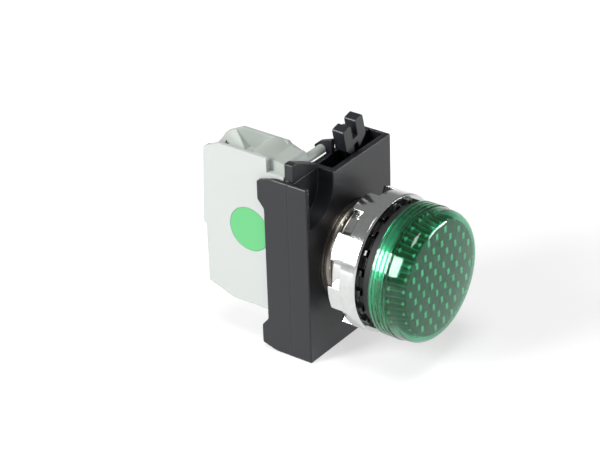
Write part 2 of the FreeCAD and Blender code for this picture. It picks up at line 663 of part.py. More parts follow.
def make_block_housing():
    wall_top = [(WALL_TOP_REAR, BLOCK_TOP), (WALL_TOP_FRONT, BLOCK_TOP), WALL_STEP, WALL_TOE,
                (BLOCK_FRONT, LEDGE_Z)]
    right_wall = prism_x(REAR_OUTLINE + wall_top, CORE_RIGHT, BLOCK_RIGHT)
    core_top = [REAR_LIP, (TROUGH_REAR, TROUGH_Z), (TROUGH_FRONT, TROUGH_Z), CREST, (GROOVE_Y, TONGUE_Z),
                (GROOVE_Y, LEDGE_Z), (BLOCK_FRONT, LEDGE_Z)]
    core_radii = [0.0] * len(REAR_OUTLINE) + [0.2, 0.0, 0.0, CREST_R, 0.0, 0.0, 0.0]
    core = prism_x(REAR_OUTLINE + core_top, CORE_LEFT, CORE_RIGHT, core_radii)
    funnel_high = Vector(BLOCK_MID_X, FUNNEL_MOUTH[0], FUNNEL_MOUTH[1])
    funnel_low = Vector(BLOCK_MID_X, WIRE_Y + 0.3, FUNNEL_FLOOR + 0.5)
    along = funnel_low - funnel_high
    funnel = Part.makeCone(FUNNEL_MOUTH_R, FUNNEL_END_R, along.Length, funnel_high, along)
    root_y, root_z = GROOVE_Y + 0.1, LEDGE_Z - 0.1
    front_y = PIN_Y - PIN_R
    tongue = prism_x([(root_y, root_z), (root_y, TONGUE_Z), (PIN_Y - 0.1, PIN_Z + 2 * PIN_R),
                      (PIN_Y - PIN_R / 2, PIN_Z + 1.5 * PIN_R), (front_y, PIN_Z), (front_y + 0.2, root_z)],
                     TONGUE_LEFT, CORE_RIGHT + 0.1, [0, 0, 0.5, 0.6, 0, 0])
    pin = rod_x(PIN_R, TONGUE_LEFT + 1, HOOK_LEFT + HOOK_T, PIN_Y, PIN_Z)
    catch_y = FRAME_REAR - WAIST_STEP + SEAT_GAP
    catch_low, catch_high = BLOCK_BOTTOM - CATCH_H, BLOCK_BOTTOM + 0.5
    catch_end = catch_y + CATCH_L
    catch = prism_x([(catch_y, catch_high), (catch_y, catch_low), (catch_y + 0.5, catch_low),
                     (catch_end, BLOCK_BOTTOM), (catch_end, catch_high)],
                    BLOCK_MID_X - CATCH_W / 2, BLOCK_MID_X + CATCH_W / 2)
    block = core.cut(funnel)
    block = joined(block, [right_wall, tongue, pin, catch])
    cavity = prism_x([(CAVITY_FRONT, CAVITY_BOTTOM), (CAVITY_HEEL, CAVITY_BOTTOM),
                      (CAVITY_REAR, CAVITY_BOTTOM + 0.4), (CAVITY_REAR, CAVITY_TOP),
                      (CAVITY_FRONT, CAVITY_TOP)], CORE_LEFT, CORE_RIGHT - 0.2)
    tools = [
        cavity,
        rod_z(WIRE_R, CAVITY_TOP - 1, FUNNEL_FLOOR + 1, BLOCK_MID_X, WIRE_Y),
        rod_z(FUNNEL_END_R, FUNNEL_FLOOR, BLOCK_TOP + 2, BLOCK_MID_X, WIRE_Y),
        rod_z(WIRE_R, BLOCK_BOTTOM - 1, CAVITY_BOTTOM + 1, BLOCK_MID_X, WIRE_Y),
        rod_y(ACCESS_R, CAVITY_REAR - 1, BLOCK_REAR + 2, BLOCK_MID_X, TERMINAL_UP_Z),
        rod_y(ACCESS_R, CAVITY_REAR - 1, BLOCK_REAR + 2, BLOCK_MID_X, TERMINAL_LOW_Z),
        box(CORE_LEFT, CORE_LEFT + PRY_SLOT_W, PRY_SLOT_Y[0], PRY_SLOT_Y[1], PRY_SLOT_Z, BLOCK_TOP + 2)]
    for z in (-CONTACT_Z, CONTACT_Z):
        tools.append(box(CONTACT_X - 1.0, CONTACT_X + 1.0, BLOCK_FRONT - 1, CAVITY_FRONT + 1, z - 1.4, z + 1.4))
    block = cut_away(block, tools)
    ribs = []
    for z in (BOARD_TOP - 0.8, BOARD_BOTTOM + SEAT_GAP):
        ribs.append(box(CORE_LEFT + SEAT_GAP, CORE_RIGHT, BOARD_REAR + SEAT_GAP, CAVITY_REAR + 0.2, z, z + 0.8))
    return joined(block, ribs)


def make_side_cover():
    top = [(WALL_TOP_REAR, BLOCK_TOP), (GROOVE_Y, BLOCK_TOP), (GROOVE_Y, LEDGE_Z), (BLOCK_FRONT, LEDGE_Z)]
    cover = prism_x(REAR_OUTLINE + top, BLOCK_LEFT, CORE_LEFT)
    return cover.cut(rod_x(DOT_R + RUN_GAP, BLOCK_LEFT - 1, BLOCK_LEFT + DOT_T, DOT_Y, DOT_Z))


def make_dot():
    return rod_x(DOT_R, BLOCK_LEFT, BLOCK_LEFT + DOT_T, DOT_Y, DOT_Z)


def make_screw(z):
    head = rod_y(SCREW_HEAD_R, HEAD_SEAT, HEAD_SEAT + SCREW_HEAD_T, BLOCK_MID_X, z)
    shank = rod_y(SCREW_R, BAR_FACE + TERMINAL_BAR_T + SEAT_GAP, HEAD_SEAT + 0.1, BLOCK_MID_X, z)
    slot = box(BLOCK_MID_X - SCREW_HEAD_R - 1, BLOCK_MID_X + SCREW_HEAD_R + 1,
               HEAD_SEAT + SCREW_HEAD_T - SCREW_SLOT_D, HEAD_SEAT + SCREW_HEAD_T + 1,
               z - SCREW_SLOT_W / 2, z + SCREW_SLOT_W / 2)
    return joined(head, [shank]).cut(slot)


def make_cage(z):
    half_w, half_h = CAGE_W / 2, CAGE_H / 2
    shell = box(BLOCK_MID_X - half_w, BLOCK_MID_X + half_w, CAGE_INNER - CAGE_FRONT_T, CAGE_REAR,
                z - half_h, z + half_h)
    inside = box(BLOCK_MID_X - half_w + CAGE_FRONT_T, BLOCK_MID_X + half_w - CAGE_FRONT_T, CAGE_INNER,
                 CAGE_REAR - CAGE_REAR_T, z - half_h - 1, z + half_h + 1)
    thread = rod_y(SCREW_R + RUN_GAP, CAGE_REAR - CAGE_REAR_T - 1, CAGE_REAR + 1, BLOCK_MID_X, z)
    return shell.cut([inside, thread])


def make_terminal_bar(z_far, z_board):
    half = CAGE_W / 2 - CAGE_FRONT_T - SEAT_GAP
    low, high = min(z_far, z_board), max(z_far, z_board)
    return box(BLOCK_MID_X - half, BLOCK_MID_X + half, BAR_FACE, BAR_FACE + TERMINAL_BAR_T, low, high)


def make_driver_board():
    return box(BOARD_RIGHT - BOARD_T, BOARD_RIGHT, BOARD_FRONT, BOARD_REAR, BOARD_BOTTOM, BOARD_TOP)


def make_resistor():
    cap_r = RESISTOR_R + RESISTOR_CAP_RISE
    x = BOARD_RIGHT - BOARD_T - cap_r
    z = BOARD_TOP - cap_r - SEAT_GAP
    rear = RESISTOR_FRONT + RESISTOR_L
    body = rod_y(RESISTOR_R, RESISTOR_FRONT, rear, x, z)
    return joined(body, [rod_y(cap_r, RESISTOR_FRONT, RESISTOR_FRONT + RESISTOR_CAP_L, x, z),
                         rod_y(cap_r, rear - RESISTOR_CAP_L, rear, x, z)])


def make_capacitor():
    face = BOARD_RIGHT - BOARD_T
    z = BOARD_BOTTOM + CAPACITOR_RISE
    body = rod_x(CAPACITOR_R, face - CAPACITOR_L, face, CAPACITOR_Y, z)
    crimp = face - CAPACITOR_L / 5
    groove = rod_x(CAPACITOR_R + 1, crimp - 0.2, crimp + 0.2, CAPACITOR_Y, z)
    groove = groove.cut(rod_x(CAPACITOR_R - 0.2, crimp - 1, crimp + 1, CAPACITOR_Y, z))
    return body.cut(groove)


def make_rectifier():
    face = BOARD_RIGHT - BOARD_T
    across, along, tall = RECTIFIER_SIZE
    y0, z0 = RECTIFIER_FRONT, BOARD_BOTTOM + 1.2
    body = box(face - across, face, y0, y0 + along, z0, z0 + tall)
    corner = [e for e in body.Edges if abs(e.BoundBox.XMax - (face - across)) < 1e-6]
    return body.makeChamfer(0.3, corner)


def make_contact_spring(z):
    face = BOARD_RIGHT - BOARD_T
    tip = MID_REAR + RUN_GAP
    t = SPRING_T
    bend = tip + SPRING_RISE
    solder_end = BOARD_FRONT + SPRING_SOLDER_L
    outline = [(face, solder_end), (face - t, solder_end), (face - t, BOARD_FRONT),
               (CONTACT_X - t, bend + t), (CONTACT_X - t, tip), (CONTACT_X + t, tip), (CONTACT_X + t, bend),
               (face, BOARD_FRONT - t)]
    half = SPRING_W / 2
    return prism_z(outline, z - half, z + half, [0, 0, t, t, 0.8 * t, 0.8 * t, t, t])


def make_carrier():
    cup = rod_y(CARRIER_R, CARRIER_FRONT, CARRIER_REAR)
    tools = [rod_y(CARRIER_R - CARRIER_WALL, CARRIER_FRONT - 1, CARRIER_REAR - CARRIER_BASE_T)]
    half_t = BLADE_T / 2 + SEAT_GAP
    half_w = BLADE_W / 2 + SEAT_GAP
    for z in (-CONTACT_Z, CONTACT_Z):
        tools.append(box(BLADE_X - half_t, BLADE_X + half_t, CARRIER_FRONT - 1, CARRIER_REAR + 1,
                         z - half_w, z + half_w))
    return cup.cut(tools)


def make_lamp_board():
    return rod_y(CARRIER_R - CARRIER_WALL / 2, CARRIER_FRONT - LAMP_BOARD_T, CARRIER_FRONT)


def make_led(angle):
    x = LED_RING_R * math.cos(math.radians(angle))
    z = LED_RING_R * math.sin(math.radians(angle))
    rear = CARRIER_FRONT - LAMP_BOARD_T
    base = box(x - LED_SIZE / 2, x + LED_SIZE / 2, rear - LED_T, rear, z - LED_SIZE / 2, z + LED_SIZE / 2)
    dome = Part.makeSphere(LED_DOME_R, Vector(x, rear - LED_T, z))
    return joined(base, [dome])


def make_blade(z):
    low, high = z - BLADE_W / 2, z + BLADE_W / 2
    stem = box(BLADE_X - BLADE_T / 2, BLADE_X + BLADE_T / 2, CARRIER_FRONT, PAD_REAR, low, high)
    pad = box(CONTACT_X - 1.0, BLADE_X, PAD_REAR - PAD_T, PAD_REAR, low, high)
    return joined(stem, [pad])


def build():
    nodes = {
        "lens": make_lens(),
        "prism_cup": make_prism_cup(),
        "panel_gasket": make_gasket(),
        "head_body": make_head(),
        "lock_washer": make_washer(),
        "fixing_nut": make_nut(),
        "front_cover": make_front_cover(),
        "rear_frame": make_rear_frame(),
        "lock_lever": make_lever(),
        "block_housing": make_block_housing(),
        "block_side_cover": make_side_cover(),
        "colour_dot": make_dot(),
        "terminal_screw_upper": make_screw(TERMINAL_UP_Z),
        "terminal_screw_lower": make_screw(TERMINAL_LOW_Z),
        "wire_cage_upper": make_cage(TERMINAL_UP_Z),
        "wire_cage_lower": make_cage(TERMINAL_LOW_Z),
        "terminal_bar_upper": make_terminal_bar(CAVITY_TOP - SEAT_GAP, BOARD_TOP),
        "terminal_bar_lower": make_terminal_bar(CAVITY_BOTTOM + SEAT_GAP, BOARD_BOTTOM),
        "driver_board": make_driver_board(),
        "dropper_resistor": make_resistor(),
        "smoothing_capacitor": make_capacitor(),
        "rectifier": make_rectifier(),
        "contact_spring_upper": make_contact_spring(CONTACT_Z),
        "contact_spring_lower": make_contact_spring(-CONTACT_Z),
        "lamp_carrier": make_carrier(),
        "lamp_board": make_lamp_board(),
        "led_top": make_led(90.0),
        "led_left": make_led(210.0),
        "led_right": make_led(330.0),
        "supply_blade_upper": make_blade(CONTACT_Z),
        "supply_blade_lower": make_blade(-CONTACT_Z),
    }
    os.makedirs("parts", exist_ok=True)
    for name, shape in nodes.items():
        shape.exportStep("parts/" + name + ".step")
        ends = shape.BoundBox
        sides = (ends.XMin, ends.XMax, ends.YMin, ends.YMax, ends.ZMin, ends.ZMax)
        print(name, len(shape.Solids), shape.isValid(), round(shape.Volume, 2), [round(v, 2) for v in sides])


build()
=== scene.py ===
import json
import math

import bpy
from mathutils import Matrix, Vector


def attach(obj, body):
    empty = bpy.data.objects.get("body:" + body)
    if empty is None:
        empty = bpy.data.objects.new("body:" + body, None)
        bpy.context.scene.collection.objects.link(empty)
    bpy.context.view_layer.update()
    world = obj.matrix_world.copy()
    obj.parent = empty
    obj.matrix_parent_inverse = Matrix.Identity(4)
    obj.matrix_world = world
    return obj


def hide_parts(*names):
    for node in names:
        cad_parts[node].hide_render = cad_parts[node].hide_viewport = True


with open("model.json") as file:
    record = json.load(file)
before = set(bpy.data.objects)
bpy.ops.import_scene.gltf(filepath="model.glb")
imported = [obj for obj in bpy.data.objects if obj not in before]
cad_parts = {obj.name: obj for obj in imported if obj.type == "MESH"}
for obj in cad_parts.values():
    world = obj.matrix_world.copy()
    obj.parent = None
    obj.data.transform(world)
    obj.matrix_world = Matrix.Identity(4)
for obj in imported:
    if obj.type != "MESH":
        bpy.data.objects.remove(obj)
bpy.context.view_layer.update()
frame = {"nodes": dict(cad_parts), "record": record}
MM = 0.001

# The photograph's view: a long lens from the front left, looking down on the lamp
VIEW_TURN = math.radians(-52.738)
VIEW_RISE = math.radians(29.614)
VIEW_ROLL = math.radians(-1.936)
EYE_MM = (-366.46, -253.46, 262.41)
LENS_MM = 150.0
SHIFT_RIGHT_PX = 0.3
SHIFT_DOWN_PX = 1.2
IMAGE_WIDTH_PX = 600
FLOOR_Z = -20.7 * MM
FLOOR_SIZE = 6.0
FLOOR_GLOW = 0.55
AIR_AT_HORIZON = 0.8
AIR_ABOVE = 0.28
AIR_BLEND_HEIGHT = 0.25

# Sizes that the new pieces share with the construction, in millimetres
NECK_R = 11.0
THREAD_PITCH = 1.5
THREAD_START = 1.6
THREAD_TURNS = 6
THREAD_CUT_R = 0.42
THREAD_CUT_WIDEN = 1.75
LENS_REAR = -2.2
LENS_APEX = -11.8
LENS_RIM_R = 14.5
LENS_SIDE_R = 14.3
LENS_NOSE_R = 14.22
LENS_BORE_R = 13.35
LENS_CORNER_R = 2.6
LENS_DOME_R = 65.0
LENS_WALL = 0.85
LENS_RINGS = 4
RING_PITCH = 1.0
RING_GROOVE = 0.22
RING_DEPTH = 0.16
GASKET_R = 13.4
GASKET_BORE_R = 11.05
GASKET_FRONT = -2.15
GASKET_FILLET = 0.35
CUP_R = 13.2
CUP_REAR = -5.1
CUP_COLLAR = 0.9
CUP_FRONT = -9.7
CUP_FRONT_R = 12.3
CUP_WALL = 0.6
FLUTE_COUNT = 60
FLUTE_DEPTH = 0.35
PRISM_PITCH = 3.0
PRISM_FIELD_R = 12.1
PRISM_W = 1.45
PRISM_H = 2.0
PRISM_RAISE = 0.15
PRISM_LEAN = math.radians(6.0)
PRISM_DRAW_IN = (0.56, 1, 0.72)
PRISM_SOFT = 0.2
# Two rows of painted glints on the prism cup: where they sit along the axis, how long they are, their soft
# edge and their strength
COLLAR_GLINTS_Y = -6.35
COLLAR_GLINTS_LENGTH = 1.6
FRONT_GLINTS_Y = -9.25
FRONT_GLINTS_LENGTH = 1.3
GLINT_FADE = (0.28, 0.14)
GLINT_STRENGTH = 0.5

# Distances for merging points and for finding those that lie in one plane, in millimetres
MERGE_COPY = 0.002
MERGE_CUT = 0.003
MERGE_TURNED = 0.004
IN_PLANE = 0.01


# Sizes of the patterns in the finishes, in millimetres
DRIFT_MM = 9.0
CUP_DRIFT_MM = 2.5
HAZE_MM = 1.1
MOULD_EDGE_MM = 0.3


def linear(hex_colour):
    """sRGB hex to the linear colour that a shader socket takes."""
    values = [int(hex_colour[i:i + 2], 16) / 255 for i in (1, 3, 5)]
    return [v / 12.92 if v <= 0.04045 else ((v + 0.055) / 1.055) ** 2.4 for v in values] + [1.0]


def add_node(tree, kind, settings=None, values=None, links=None):
    """A node of a kind, with its settings, its sockets' values, and what is linked into its sockets."""
    made = tree.nodes.new(kind)
    for name, value in (settings or {}).items():
        setattr(made, name, value)
    for name, value in (values or {}).items():
        made.inputs[name].default_value = value
    for name, source in (links or {}).items():
        tree.links.new(source, made.inputs[name])
    return made


def new_material(name):
    material = bpy.data.materials.new(name)
    material.use_nodes = True
    material.node_tree.nodes.clear()
    return material, material.node_tree


def finish_material(tree, shader):
    add_node(tree, "ShaderNodeOutputMaterial", links={"Surface": shader.outputs[0]})


def object_position(tree):
    """The piece's own coordinates, in metres."""
    where = add_node(tree, "ShaderNodeTexCoord")
    return add_node(tree, "ShaderNodeMapping", links={"Vector": where.outputs["Object"]})


def rounded_edges(tree, edge_mm):
    """The small radius that a mould or a die leaves on an edge: it catches the light along every corner."""
    return add_node(tree, "ShaderNodeBevel", {"samples": 6}, {"Radius": edge_mm * MM})


def moulded_plastic(name, dark, light, roughness, grain_mm, grain_depth):
    """Moulded or printed plastic, board and resin: a grain breaks up the highlight, and the colour drifts
    slightly over the piece, as it does where the flow of the melt changed. A real spark-eroded grain is under
    0.1 mm and would not show, so grain_mm is several times coarser."""
    material, tree = new_material(name)
    place = object_position(tree)
    drift = add_node(tree, "ShaderNodeTexNoise", values={"Scale": 1000 / DRIFT_MM, "Detail": 2.0},
                     links={"Vector": place.outputs[0]})
    grain = add_node(tree, "ShaderNodeTexNoise",
                     values={"Scale": 1000 / grain_mm, "Detail": 3.0, "Roughness": 0.6},
                     links={"Vector": place.outputs[0]})
    tint = add_node(tree, "ShaderNodeMix", {"data_type": "RGBA"}, {6: linear(dark), 7: linear(light)},
                    {0: drift.outputs[0]})
    spread = add_node(tree, "ShaderNodeMapRange",
                      values={"To Min": roughness - 0.06, "To Max": roughness + 0.08},
                      links={"Value": grain.outputs[0]})
    edges = rounded_edges(tree, MOULD_EDGE_MM)
    bump = add_node(tree, "ShaderNodeBump", values={"Strength": grain_depth, "Distance": 0.02 * MM},
                    links={"Height": grain.outputs[0], "Normal": edges.outputs[0]})
    shader = add_node(tree, "ShaderNodeBsdfPrincipled", values={"IOR": 1.5},
                      links={"Base Color": tint.outputs[2], "Roughness": spread.outputs[0],
                             "Normal": bump.outputs[0]})
    finish_material(tree, shader)
    return material


def plated_metal(name, dark, light, roughness, wave_mm, wave_depth, edge_mm=0.15,
                 shade_behind_panel=None):
    """Plated, oiled or rolled metal: a shine with the slow waves of the casting or strip and a faint haze
    left in it. Given a second colour, everything behind the panel is painted darker, as painted shade where
    the nut and the frame shade the neck."""
    material, tree = new_material(name)
    place = object_position(tree)
    waves = add_node(tree, "ShaderNodeTexNoise", values={"Scale": 1000 / wave_mm, "Detail": 2.0},
                     links={"Vector": place.outputs[0]})
    haze = add_node(tree, "ShaderNodeTexNoise", values={"Scale": 1000 / HAZE_MM, "Detail": 4.0},
                    links={"Vector": place.outputs[0]})
    tint = add_node(tree, "ShaderNodeMix", {"data_type": "RGBA"}, {6: linear(dark), 7: linear(light)},
                    {0: haze.outputs[0]})
    # painted shade: the part behind the panel, shaded by the nut and the frame, takes a darker colour
    if shade_behind_panel:
        parts = add_node(tree, "ShaderNodeSeparateXYZ", links={"Vector": place.outputs[0]})
        rear = add_node(tree, "ShaderNodeMath", {"operation": "GREATER_THAN"}, {1: 0.0},
                        {0: parts.outputs["Y"]})
        tint = add_node(tree, "ShaderNodeMix", {"data_type": "RGBA"}, {7: linear(shade_behind_panel)},
                        {0: rear.outputs[0], 6: tint.outputs[2]})
    spread = add_node(tree, "ShaderNodeMapRange",
                      values={"To Min": roughness * 0.6, "To Max": roughness * 1.6},
                      links={"Value": haze.outputs[0]})
    edges = rounded_edges(tree, edge_mm)
    bump = add_node(tree, "ShaderNodeBump", values={"Strength": wave_depth, "Distance": 0.05 * MM},
                    links={"Height": waves.outputs[0], "Normal": edges.outputs[0]})
    shader = add_node(tree, "ShaderNodeBsdfPrincipled", values={"Metallic": 1.0},
                      links={"Base Color": tint.outputs[2], "Roughness": spread.outputs[0],
                             "Normal": bump.outputs[0]})
    finish_material(tree, shader)
    return material


def clear_acrylic(name, dye, dye_per_metre, wave_mm, wave_depth):
    """Polished acrylic, dyed green right through: it bends and mirrors what is round it, looks deeper where
    it is thicker, and lets the light that falls on it straight through to the prisms. Faint sink waves are
    left from the mould."""
    material, tree = new_material(name)
    place = object_position(tree)
    waves = add_node(tree, "ShaderNodeTexNoise", values={"Scale": 1000 / wave_mm, "Detail": 1.0},
                     links={"Vector": place.outputs[0]})
    bump = add_node(tree, "ShaderNodeBump", values={"Strength": wave_depth, "Distance": 0.02 * MM},
                    links={"Height": waves.outputs[0]})
    glass = add_node(tree, "ShaderNodeBsdfGlass", values={"Roughness": 0.02, "IOR": 1.49},
                     links={"Normal": bump.outputs[0]})
    clear = add_node(tree, "ShaderNodeBsdfTransparent")
    path = add_node(tree, "ShaderNodeLightPath")
    either = add_node(tree, "ShaderNodeMixShader",
                      links={0: path.outputs["Is Shadow Ray"], 1: glass.outputs[0], 2: clear.outputs[0]})
    inside = add_node(tree, "ShaderNodeVolumeAbsorption",
                      values={"Color": linear(dye), "Density": dye_per_metre})
    add_node(tree, "ShaderNodeOutputMaterial",
             links={"Surface": either.outputs[0], "Volume": inside.outputs[0]})
    return material


def glint_row(tree, parts, across, row_y, length_mm):
    """How much painted glint there is at a point: one row of pale dots round the axis, at a place along it.
    """
    along = add_node(tree, "ShaderNodeMath", {"operation": "MULTIPLY_ADD"},
                     {1: 1000 / length_mm, 2: -row_y / length_mm}, {0: parts.outputs["Y"]})
    away = add_node(tree, "ShaderNodeMath", {"operation": "ABSOLUTE"}, links={0: along.outputs[0]})
    reach = add_node(tree, "ShaderNodeMath", {"operation": "ADD"},
                     links={0: across.outputs[0], 1: away.outputs[0]})
    return add_node(tree, "ShaderNodeMapRange",
                    values={"From Min": GLINT_FADE[0], "From Max": GLINT_FADE[1], "To Max": GLINT_STRENGTH},
                    links={"Value": reach.outputs[0]})


def prism_acrylic(name, groove, crest, face, bright):
    """The prism cup, moulded in the same dyed acrylic: dark where the dye is thick, with a paler green
    painted along the crests of its flutes as painted highlights, and with painted glints, a pale colour on
    the prism tips and in two rows of dots, where a prism or the end of a flute would turn the light back out."""
    material, tree = new_material(name)
    place = object_position(tree)
    parts = add_node(tree, "ShaderNodeSeparateXYZ", links={"Vector": place.outputs[0]})
    angle = add_node(tree, "ShaderNodeMath", {"operation": "ARCTAN2"},
                     links={0: parts.outputs["Z"], 1: parts.outputs["X"]})
    flutes = add_node(tree, "ShaderNodeMath", {"operation": "MULTIPLY"}, {1: FLUTE_COUNT / 2 / math.pi},
                      {0: angle.outputs[0]})
    rib = add_node(tree, "ShaderNodeMath", {"operation": "PINGPONG"}, {1: 0.5}, {0: flutes.outputs[0]})
    # painted highlight: the flute crests take a paler green than the grooves
    painted_streak = add_node(tree, "ShaderNodeMapRange", values={"From Min": 0.22, "From Max": 0.0},
                      links={"Value": rib.outputs[0]})
    side = add_node(tree, "ShaderNodeMix", {"data_type": "RGBA"}, {6: linear(groove), 7: linear(crest)},
                    {0: painted_streak.outputs[0]})
    at_face = add_node(tree, "ShaderNodeMath", {"operation": "LESS_THAN"}, {1: (CUP_FRONT + 0.02) * MM},
                       {0: parts.outputs["Y"]})
    body = add_node(tree, "ShaderNodeMix", {"data_type": "RGBA"}, {7: linear(face)},
                    {0: at_face.outputs[0], 6: side.outputs[2]})
    # painted glint: the prism tips fade to a pale colour
    painted_tip_glint = add_node(tree, "ShaderNodeMapRange",
                   values={"From Min": (CUP_FRONT - 0.03) * MM,
                           "From Max": (CUP_FRONT - PRISM_RAISE * 0.6) * MM},
                   links={"Value": parts.outputs["Y"]})
    lit = add_node(tree, "ShaderNodeMix", {"data_type": "RGBA"}, {7: linear(bright)},
                   {0: painted_tip_glint.outputs[0], 6: body.outputs[2]})
    step = add_node(tree, "ShaderNodeMath", {"operation": "MULTIPLY"}, {1: 0.5}, {0: flutes.outputs[0]})
    across = add_node(tree, "ShaderNodeMath", {"operation": "PINGPONG"}, {1: 0.5}, {0: step.outputs[0]})
    # painted glints: two rows of pale dots, at the ends of the flutes and across the front
    collar_glints = glint_row(tree, parts, across, COLLAR_GLINTS_Y, COLLAR_GLINTS_LENGTH)
    front_glints = glint_row(tree, parts, across, FRONT_GLINTS_Y, FRONT_GLINTS_LENGTH)
    painted_glints = add_node(tree, "ShaderNodeMath", {"operation": "MAXIMUM"},
                    links={0: collar_glints.outputs[0], 1: front_glints.outputs[0]})
    colour = add_node(tree, "ShaderNodeMix", {"data_type": "RGBA"}, {7: linear(bright)},
                      {0: painted_glints.outputs[0], 6: lit.outputs[2]})
    drift = add_node(tree, "ShaderNodeTexNoise", values={"Scale": 1000 / CUP_DRIFT_MM, "Detail": 2.0},
                     links={"Vector": place.outputs[0]})
    shade = add_node(tree, "ShaderNodeMix", {"data_type": "RGBA", "blend_type": "MULTIPLY"},
                     {7: (0.7, 0.8, 0.76, 1.0)}, {0: drift.outputs[0], 6: colour.outputs[2]})
    shader = add_node(tree, "ShaderNodeBsdfPrincipled", values={"IOR": 1.49, "Roughness": 0.18},
                      links={"Base Color": shade.outputs[2]})
    finish_material(tree, shader)
    return material


black_nylon = moulded_plastic("black glass-filled nylon, spark-eroded", "#15161a", "#1b1c21", 0.36, 0.45, 1.0)
# painted sheen: the lever's black is set a little lighter than the frame's, standing in for the sheen on its
# face
black_lever = moulded_plastic("black nylon lever, smooth tool", "#1a1b1f", "#212226", 0.32, 0.5, 0.4)
# painted shade: the housing gets a darker grey than the cover of the same plastic, which darkens the block's
# top
grey_block_painted_shade = moulded_plastic("light grey polycarbonate block", "#a1a8a2", "#a9b0aa", 0.5, 0.4, 0.3)
grey_cover = moulded_plastic("light grey polycarbonate cover", "#b2b7b4", "#b8bcba", 0.48, 0.4, 0.3)
green_dot = moulded_plastic("green printed disc, matt ink", "#57ae6d", "#5fb475", 0.55, 0.4, 0.2)
white_carrier = moulded_plastic("white polyester lamp carrier", "#d9d9d4", "#e2e2de", 0.45, 0.4, 0.3)
white_mask = moulded_plastic("white solder mask on a lamp board", "#d5d8d2", "#e4e6e0", 0.35, 0.6, 0.2)
clear_resin = moulded_plastic("pale yellow-green light-emitting resin", "#d7e2bd", "#e3ecd0", 0.2, 0.8, 0.1)
tan_laminate = moulded_plastic("tan paper laminate board", "#8d7a45", "#9c8850", 0.6, 0.5, 0.4)
beige_lacquer = moulded_plastic("beige lacquer on a resistor", "#b39a72", "#c2aa82", 0.35, 0.6, 0.3)
black_epoxy = moulded_plastic("black epoxy package", "#141414", "#1b1b1b", 0.5, 0.4, 0.4)
black_rubber = moulded_plastic("black nitrile rubber", "#0b0b0c", "#101011", 0.6, 0.5, 0.5)
nut_chrome = plated_metal("bright chrome on a zinc casting", "#c6c8c7", "#dcdddc", 0.1, 5.0, 0.5)
# its darker colour behind the panel is painted shade
neck_chrome = plated_metal("satin chrome on a cut thread", "#d6d4ce", "#e6e4de", 0.28, 4.0, 0.3, edge_mm=0.08,
                           shade_behind_panel="#86817a")
dark_steel = plated_metal("oiled black oxide on spring steel", "#303030", "#474747", 0.2, 3.0, 0.3)
zinc_plate = plated_metal("clear zinc plate on steel", "#a9aaa8", "#c6c6c2", 0.3, 2.0, 0.4)
rolled_brass = plated_metal("rolled brass strip", "#b08d45", "#cfae66", 0.28, 2.0, 0.3)
satin_can = plated_metal("drawn aluminium can", "#a5a7a9", "#c1c3c5", 0.3, 2.0, 0.3)
cap_green = clear_acrylic("dyed green acrylic cap, polished", "#50dcbd", 1450.0, 6.0, 0.1)
# the last colour is painted glint on the prism tips and dots; the crest colour is painted highlight along the
# flutes
cup_green = prism_acrylic("dyed green acrylic prisms", "#05381f", "#1c7450", "#0b452c", "#c4fbe0")

FINISH = {
    "lens": cap_green, "prism_cup": cup_green, "panel_gasket": black_rubber,
    "head_body": neck_chrome, "lock_washer": dark_steel, "fixing_nut": nut_chrome,
    "front_cover": black_nylon, "rear_frame": black_nylon,
    "lock_lever": black_lever, "block_housing": grey_block_painted_shade, "block_side_cover": grey_cover,
    "colour_dot": green_dot, "terminal_screw_upper": zinc_plate, "terminal_screw_lower": zinc_plate,
    "wire_cage_upper": zinc_plate, "wire_cage_lower": zinc_plate, "terminal_bar_upper": rolled_brass,
    "terminal_bar_lower": rolled_brass, "driver_board": tan_laminate, "dropper_resistor": beige_lacquer,
    "smoothing_capacitor": satin_can, "rectifier": black_epoxy, "contact_spring_upper": rolled_brass,
    "contact_spring_lower": rolled_brass, "lamp_carrier": white_carrier, "lamp_board": white_mask,
    "led_top": clear_resin, "led_left": clear_resin, "led_right": clear_resin,
    "supply_blade_upper": rolled_brass, "supply_blade_lower": rolled_brass,
}
for node_name, node_object in frame["nodes"].items():
    node_object.data.materials.clear()
    node_object.data.materials.append(FINISH[node_name])

BODY_OF = {node: body for body, nodes in frame["record"]["behaviour"]["bodies"].items() for node in nodes}


def choose(piece):
    """Makes the piece the only one selected."""
    bpy.ops.object.select_all(action="DESELECT")
    piece.select_set(True)
    bpy.context.view_layer.objects.active = piece


def pick(piece, wanted):
    """Goes into edit mode with the points selected whose place passes a test."""
    if piece.mode == "EDIT":
        bpy.ops.object.mode_set(mode="OBJECT")
    choose(piece)
    bpy.ops.object.mode_set(mode="EDIT")
    bpy.ops.mesh.select_mode(type="VERT")
    bpy.ops.mesh.select_all(action="DESELECT")
    bpy.ops.object.mode_set(mode="OBJECT")
    for point in piece.data.vertices:
        point.select = wanted(point.co)
    bpy.ops.object.mode_set(mode="EDIT")


def smooth_by_angle(piece, degrees):
    choose(piece)
    bpy.ops.object.shade_smooth_by_angle(angle=math.radians(degrees))


def hand_over(piece, node):
    """The piece takes the construction node's place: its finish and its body."""
    piece.data.materials.clear()
    piece.data.materials.append(FINISH[node])
    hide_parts(node)
    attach(piece, BODY_OF[node])


